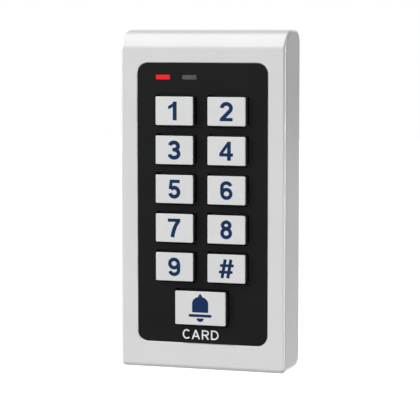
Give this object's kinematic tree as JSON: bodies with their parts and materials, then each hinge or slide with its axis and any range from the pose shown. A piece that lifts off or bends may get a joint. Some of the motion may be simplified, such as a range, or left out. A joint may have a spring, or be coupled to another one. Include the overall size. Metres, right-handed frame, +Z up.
{
  "type": "keypad card reader",
  "caption": "Wall-mounted access reader: silver cast housing, black panel with sprung number keys and a wider bell key, card aerial, circuit board and wall plate.",
  "frame": {"origin": "on the wall plate's back face, at the middle of the housing's width and height", "axes": "+Z up along the housing's height, -Y out of the front towards the user, +Y into the wall, +X to the right seen from the front"},
  "size_m": [0.0764, 0.0248, 0.15],
  "materials": {
    "silver_paint": "satin silver paint on a zinc casting",
    "panel_black": "satin black moulded panel",
    "key_silver": "silver key face, bright bevelled edge",
    "lens_red": "lit red light guide",
    "lens_grey": "unlit smoked light guide",
    "led_white": "lamp package",
    "seal_rubber": "soft black rubber",
    "board_green": "solder-masked glass-epoxy board",
    "copper_wire": "enamelled copper winding",
    "chip_black": "moulded black plastic",
    "can_metal": "drawn metal can",
    "header_white": "natural nylon",
    "sensor_clear": "clear plastic",
    "cover_grey": "dark grey moulded cover",
    "plate_zinc": "zinc-plated sheet steel",
    "screw_steel": "plated steel screws"
  },
  "bodies": {
    "reader": {"front_housing": "silver_paint", "faceplate": "panel_black", "window_seal": "seal_rubber", "switch_1": "chip_black", "switch_2": "chip_black", "switch_3": "chip_black", "switch_4": "chip_black", "switch_5": "chip_black", "switch_6": "chip_black", "switch_7": "chip_black", "switch_8": "chip_black", "switch_9": "chip_black", "switch_hash": "chip_black", "switch_bell": "chip_black", "lens_red": "lens_red", "lens_grey": "lens_grey", "led_red": "led_white", "led_grey": "led_white", "main_board": "board_green", "aerial_coil": "copper_wire", "microcontroller": "chip_black", "reader_chip": "chip_black", "regulator": "chip_black", "crystal": "can_metal", "capacitor": "can_metal", "buzzer": "chip_black", "tamper_sensor": "sensor_clear", "wire_header": "header_white", "back_cover": "cover_grey", "cover_seal": "seal_rubber", "cable_grommet": "seal_rubber", "tamper_window": "sensor_clear", "cover_screw_1": "screw_steel", "cover_screw_2": "screw_steel", "cover_screw_3": "screw_steel", "cover_screw_4": "screw_steel", "board_screw_1": "screw_steel", "board_screw_2": "screw_steel", "board_screw_3": "screw_steel", "board_screw_4": "screw_steel", "lock_screw": "screw_steel", "wall_plate": "plate_zinc"},
    "key_1_press": {"key_1": "key_silver"},
    "key_2_press": {"key_2": "key_silver"},
    "key_3_press": {"key_3": "key_silver"},
    "key_4_press": {"key_4": "key_silver"},
    "key_5_press": {"key_5": "key_silver"},
    "key_6_press": {"key_6": "key_silver"},
    "key_7_press": {"key_7": "key_silver"},
    "key_8_press": {"key_8": "key_silver"},
    "key_9_press": {"key_9": "key_silver"},
    "key_hash_press": {"key_hash": "key_silver"},
    "key_bell_press": {"key_bell": "key_silver"}
  },
  "joints": [
    {"name": "key_1_travel", "type": "slide", "parent": "reader", "child": "key_1_press", "axis": [0, 1, 0], "range_m": [0, 0.0008], "stiffness_N_per_m": 1000, "springref_m": -0.0004},
    {"name": "key_2_travel", "type": "slide", "parent": "reader", "child": "key_2_press", "axis": [0, 1, 0], "range_m": [0, 0.0008], "stiffness_N_per_m": 1000, "springref_m": -0.0004},
    {"name": "key_3_travel", "type": "slide", "parent": "reader", "child": "key_3_press", "axis": [0, 1, 0], "range_m": [0, 0.0008], "stiffness_N_per_m": 1000, "springref_m": -0.0004},
    {"name": "key_4_travel", "type": "slide", "parent": "reader", "child": "key_4_press", "axis": [0, 1, 0], "range_m": [0, 0.0008], "stiffness_N_per_m": 1000, "springref_m": -0.0004},
    {"name": "key_5_travel", "type": "slide", "parent": "reader", "child": "key_5_press", "axis": [0, 1, 0], "range_m": [0, 0.0008], "stiffness_N_per_m": 1000, "springref_m": -0.0004},
    {"name": "key_6_travel", "type": "slide", "parent": "reader", "child": "key_6_press", "axis": [0, 1, 0], "range_m": [0, 0.0008], "stiffness_N_per_m": 1000, "springref_m": -0.0004},
    {"name": "key_7_travel", "type": "slide", "parent": "reader", "child": "key_7_press", "axis": [0, 1, 0], "range_m": [0, 0.0008], "stiffness_N_per_m": 1000, "springref_m": -0.0004},
    {"name": "key_8_travel", "type": "slide", "parent": "reader", "child": "key_8_press", "axis": [0, 1, 0], "range_m": [0, 0.0008], "stiffness_N_per_m": 1000, "springref_m": -0.0004},
    {"name": "key_9_travel", "type": "slide", "parent": "reader", "child": "key_9_press", "axis": [0, 1, 0], "range_m": [0, 0.0008], "stiffness_N_per_m": 1000, "springref_m": -0.0004},
    {"name": "key_hash_travel", "type": "slide", "parent": "reader", "child": "key_hash_press", "axis": [0, 1, 0], "range_m": [0, 0.0008], "stiffness_N_per_m": 1000, "springref_m": -0.0004},
    {"name": "key_bell_travel", "type": "slide", "parent": "reader", "child": "key_bell_press", "axis": [0, 1, 0], "range_m": [0, 0.0008], "stiffness_N_per_m": 1000, "springref_m": -0.0004}
  ]
}
